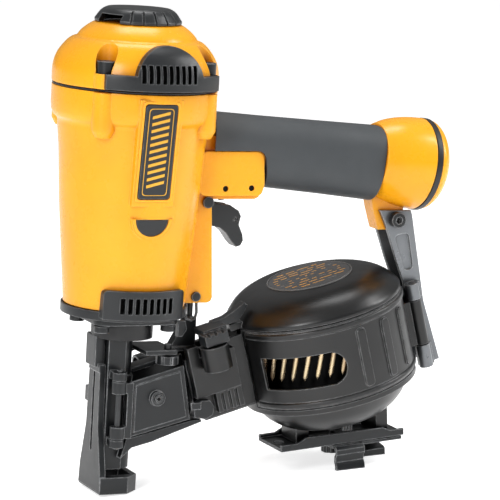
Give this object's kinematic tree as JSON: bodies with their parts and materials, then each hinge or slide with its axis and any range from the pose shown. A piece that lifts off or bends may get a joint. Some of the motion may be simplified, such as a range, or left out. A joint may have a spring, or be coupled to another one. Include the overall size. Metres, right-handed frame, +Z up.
{
  "type": "pneumatic coil roofing nailer",
  "caption": "Compressed-air coil nail gun for roofing shingles: driver cylinder on a nose with safety contact, gripped handle, hinged drum magazine and sliding shingle guide.",
  "frame": {"origin": "centre of the bounding box's bottom face, on the floor the tool stands on", "axes": "+X from the nose side back to the handle's end, +Y across the tool towards its far side, +Z up; the drive axis leans 3.72 degrees from +Z towards +X because the tool stands on its nose foot and shingle guide"},
  "size_m": [0.233, 0.1005, 0.2662],
  "materials": {
    "yellow": "satin enamel on a cast housing, lightly worn at the edges",
    "black_plastic": "fine-grained moulded plastic",
    "grip_rubber": "soft matt over-moulded grip",
    "black_gloss": "smooth glossy moulding with soft highlights",
    "black_metal": "black oxide and powder-coated steel",
    "steel": "turned and ground steel",
    "rubber": "matt moulded rubber",
    "white_plastic": "plain moulded plastic",
    "brass_nails": "zinc-plated nails collated in a coil",
    "aluminium": "machined aluminium"
  },
  "bodies": {
    "body": {"housing": "yellow", "cylinder_cap": "yellow", "cap_gasket": "rubber", "cap_screw_1": "black_metal", "cap_screw_2": "black_metal", "cap_screw_3": "black_metal", "cap_screw_4": "black_metal", "head_valve_spring": "steel", "cylinder_sleeve": "aluminium", "piston_bumper": "rubber", "upper_guard_left": "black_plastic", "upper_guard_right": "black_plastic", "lower_guard": "black_plastic", "label_plate_left": "black_plastic", "label_plate_right": "black_plastic", "side_insert_left": "black_plastic", "side_insert_right": "black_plastic", "grip_sleeve": "grip_rubber", "end_cap": "yellow", "end_cap_seal": "rubber", "air_inlet": "steel", "trigger_pin": "black_metal", "trigger_spring": "steel", "trigger_valve": "white_plastic", "nosepiece": "black_metal", "base_screw_1": "black_metal", "base_screw_2": "black_metal", "base_screw_3": "black_metal", "base_screw_4": "black_metal", "door_hinge_pin": "black_metal", "trip_spring": "steel", "feed_cylinder": "black_metal", "feed_spring": "steel", "canister_body": "black_gloss", "cover_hinge_pin": "black_metal", "magazine_arm": "black_metal", "arm_screw": "black_metal", "base_rail": "black_metal"},
    "deflector": {"exhaust_deflector": "black_plastic"},
    "valve_head": {"head_valve": "aluminium"},
    "drive": {"drive_piston": "aluminium", "driver_blade": "steel"},
    "trigger_body": {"trigger": "black_plastic"},
    "lever": {"trip_lever": "steel"},
    "stem": {"valve_stem": "steel"},
    "trip": {"contact_trip": "black_metal"},
    "wheel": {"depth_wheel": "black_metal"},
    "feeder": {"feed_piston": "steel"},
    "pawl": {"feed_pawl": "steel"},
    "door": {"feed_door": "black_metal", "door_screw": "black_metal"},
    "latch": {"door_latch": "black_metal"},
    "cover": {"canister_cover": "black_gloss", "canister_lid": "black_gloss"},
    "lid_latch": {"cover_latch": "black_plastic"},
    "platform": {"nail_platform": "black_plastic"},
    "nails": {"nail_coil": "brass_nails"},
    "dial": {"platform_dial": "black_plastic"},
    "guide": {"shingle_guide": "black_metal"},
    "guide_knob": {"guide_lock_knob": "black_metal"}
  },
  "joints": [
    {"name": "deflector_turn", "type": "hinge", "parent": "body", "child": "deflector", "pos_m": [-0.06867, 0, 0.26008], "axis": [0.0649, 0, 0.9979], "continuous": true},
    {"name": "head_valve_lift", "type": "slide", "parent": "body", "child": "valve_head", "axis": [0.0649, 0, 0.9979], "range_m": [0, 0.004], "stiffness_N_per_m": 3000, "springref_m": -0.004, "deforming": ["head_valve_spring"]},
    {"name": "driver_stroke", "type": "slide", "parent": "body", "child": "drive", "axis": [-0.0649, 0, -0.9979], "range_m": [0, 0.086]},
    {"name": "trigger_pull", "type": "hinge", "parent": "body", "child": "trigger_body", "pos_m": [-0.03399, 0, 0.15851], "axis": [0, -1, 0], "range_deg": [0, 10], "stiffness_Nm_per_rad": 0.6, "springref_deg": -20.05},
    {"name": "trip_lever_swing", "type": "hinge", "parent": "trigger_body", "child": "lever", "pos_m": [-0.01354, 0, 0.14626], "axis": [0, 1, 0], "range_deg": [0, 14]},
    {"name": "valve_stem_lift", "type": "slide", "parent": "body", "child": "stem", "axis": [0.0649, 0, 0.9979], "range_m": [0, 0.0015]},
    {"name": "contact_trip_press", "type": "slide", "parent": "body", "child": "trip", "axis": [0.0649, 0, 0.9979], "range_m": [0, 0.006], "stiffness_N_per_m": 2500, "springref_m": -0.016, "deforming": ["trip_spring"]},
    {"name": "depth_wheel_turn", "type": "hinge", "parent": "trip", "child": "wheel", "pos_m": [-0.05685, -0.009, 0.07191], "axis": [0.0649, 0, 0.9979], "continuous": true},
    {"name": "feed_stroke", "type": "slide", "parent": "body", "child": "feeder", "axis": [0.9767, 0, 0.2144], "range_m": [0, 0.008], "stiffness_N_per_m": 1200, "springref_m": -0.004},
    {"name": "feed_pawl_swing", "type": "hinge", "parent": "feeder", "child": "pawl", "pos_m": [-0.07119, 0.02, 0.05099], "axis": [0.2144, 0, -0.9767], "range_deg": [0, 8], "stiffness_Nm_per_rad": 0.05, "springref_deg": -11.46},
    {"name": "feed_door_swing", "type": "hinge", "parent": "body", "child": "door", "pos_m": [-0.08908, -0.016, 0.04795], "axis": [-0.0649, 0, -0.9979], "range_deg": [0, 100]},
    {"name": "door_latch_swing", "type": "hinge", "parent": "body", "child": "latch", "pos_m": [-0.04039, 0, 0.04158], "axis": [0, 1, 0], "range_deg": [0, 10], "stiffness_Nm_per_rad": 0.2, "springref_deg": -5.73},
    {"name": "canister_cover_swing", "type": "hinge", "parent": "body", "child": "cover", "pos_m": [0.09724, -0.0125, 0.07945], "axis": [-0.2144, 0, 0.9767], "range_deg": [0, 95]},
    {"name": "cover_latch_swing", "type": "hinge", "parent": "body", "child": "lid_latch", "pos_m": [-0.03339, -0.02, 0.07944], "axis": [-0.2144, 0, 0.9767], "range_deg": [0, 22], "stiffness_Nm_per_rad": 0.15, "springref_deg": -17.19},
    {"name": "nail_platform_drop", "type": "slide", "parent": "body", "child": "platform", "axis": [0.2144, 0, -0.9767], "range_m": [0, 0.008]},
    {"name": "nail_coil_turn", "type": "hinge", "parent": "platform", "child": "nails", "pos_m": [0.04572, 0, 0.05483], "axis": [-0.2144, 0, 0.9767], "continuous": true},
    {"name": "platform_dial_turn", "type": "hinge", "parent": "body", "child": "dial", "pos_m": [0.05207, 0, 0.02592], "axis": [-0.2144, 0, 0.9767], "continuous": true},
    {"name": "shingle_guide_slide", "type": "slide", "parent": "body", "child": "guide", "axis": [0.9996, 0, 0.0293], "range_m": [-0.012, 0.015]},
    {"name": "guide_knob_turn", "type": "hinge", "parent": "guide", "child": "guide_knob", "pos_m": [0.04894, 0, 0.00981], "axis": [-0.0293, 0, 0.9996], "continuous": true}
  ],
  "couplings": [
    {"joint": "trip_lever_swing", "follows": "contact_trip_press", "rad_per_m": 40.719},
    {"joint": "valve_stem_lift", "follows": "trigger_pull", "m_per_rad": 0.008589}
  ]
}
